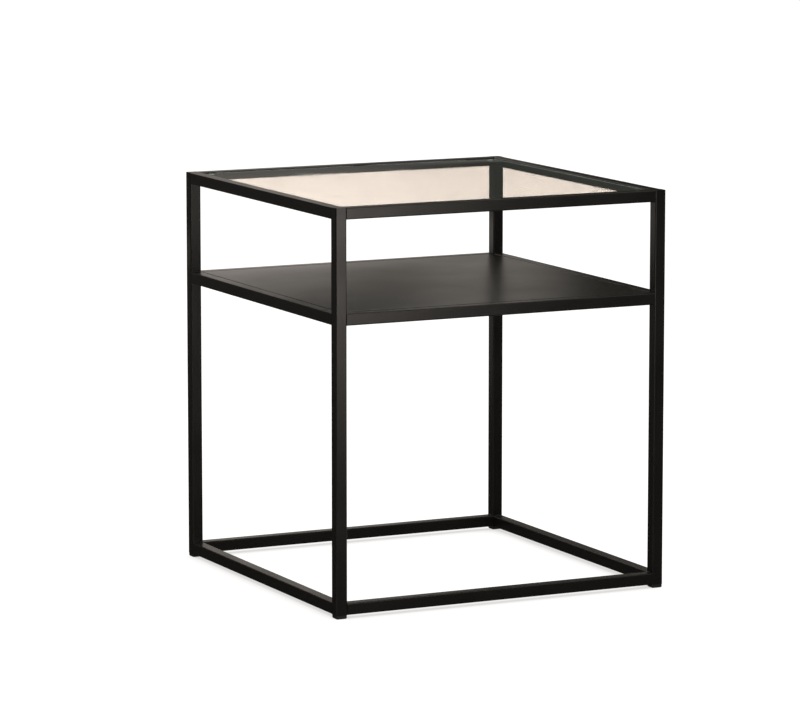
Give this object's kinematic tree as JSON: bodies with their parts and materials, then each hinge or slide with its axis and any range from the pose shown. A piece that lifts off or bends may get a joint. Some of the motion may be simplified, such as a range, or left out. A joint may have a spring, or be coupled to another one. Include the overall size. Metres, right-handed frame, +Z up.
{
  "type": "end table",
  "caption": "Square end table: black square-tube frame on foot glides, loose clear glass top set into the top frame, folded sheet-steel shelf below it, rails round the base.",
  "frame": {"origin": "on the floor under the middle of the table", "axes": "+X along the front from left to right, +Y from front to back, +Z up"},
  "size_m": [0.5, 0.5, 0.555],
  "materials": {
    "black_powder_coat": "satin powder coat",
    "clear_glass": "polished, tempered",
    "black_glide_plastic": "moulded",
    "clear_silicone": "translucent",
    "black_screw_steel": "black zinc"
  },
  "bodies": {
    "frame": {"leg_front_left": "black_powder_coat", "leg_front_right": "black_powder_coat", "leg_rear_left": "black_powder_coat", "leg_rear_right": "black_powder_coat", "leg_cap_front_left": "black_powder_coat", "leg_cap_front_right": "black_powder_coat", "leg_cap_rear_left": "black_powder_coat", "leg_cap_rear_right": "black_powder_coat", "top_rail_front": "black_powder_coat", "top_rail_rear": "black_powder_coat", "top_rail_left": "black_powder_coat", "top_rail_right": "black_powder_coat", "shelf_rail_front": "black_powder_coat", "shelf_rail_rear": "black_powder_coat", "shelf_rail_left": "black_powder_coat", "shelf_rail_right": "black_powder_coat", "base_rail_front": "black_powder_coat", "base_rail_rear": "black_powder_coat", "base_rail_left": "black_powder_coat", "base_rail_right": "black_powder_coat", "glass_plate_front_left": "black_powder_coat", "glass_plate_front_right": "black_powder_coat", "glass_plate_rear_left": "black_powder_coat", "glass_plate_rear_right": "black_powder_coat", "shelf_lug_front_left": "black_powder_coat", "shelf_lug_front_right": "black_powder_coat", "shelf_lug_rear_left": "black_powder_coat", "shelf_lug_rear_right": "black_powder_coat", "shelf_panel": "black_powder_coat", "shelf_stiffener": "black_powder_coat", "shelf_nuts": "black_powder_coat", "foot_glide_front_left": "black_glide_plastic", "foot_glide_front_right": "black_glide_plastic", "foot_glide_rear_left": "black_glide_plastic", "foot_glide_rear_right": "black_glide_plastic", "glass_bumper_front_left": "clear_silicone", "glass_bumper_front_right": "clear_silicone", "glass_bumper_rear_left": "clear_silicone", "glass_bumper_rear_right": "clear_silicone", "shelf_screws": "black_screw_steel"},
    "glass": {"glass_top": "clear_glass"}
  },
  "joints": [
    {"name": "glass_lift", "type": "slide", "parent": "frame", "child": "glass", "axis": [0, 0, 1], "range_m": [0, 0.06]}
  ]
}
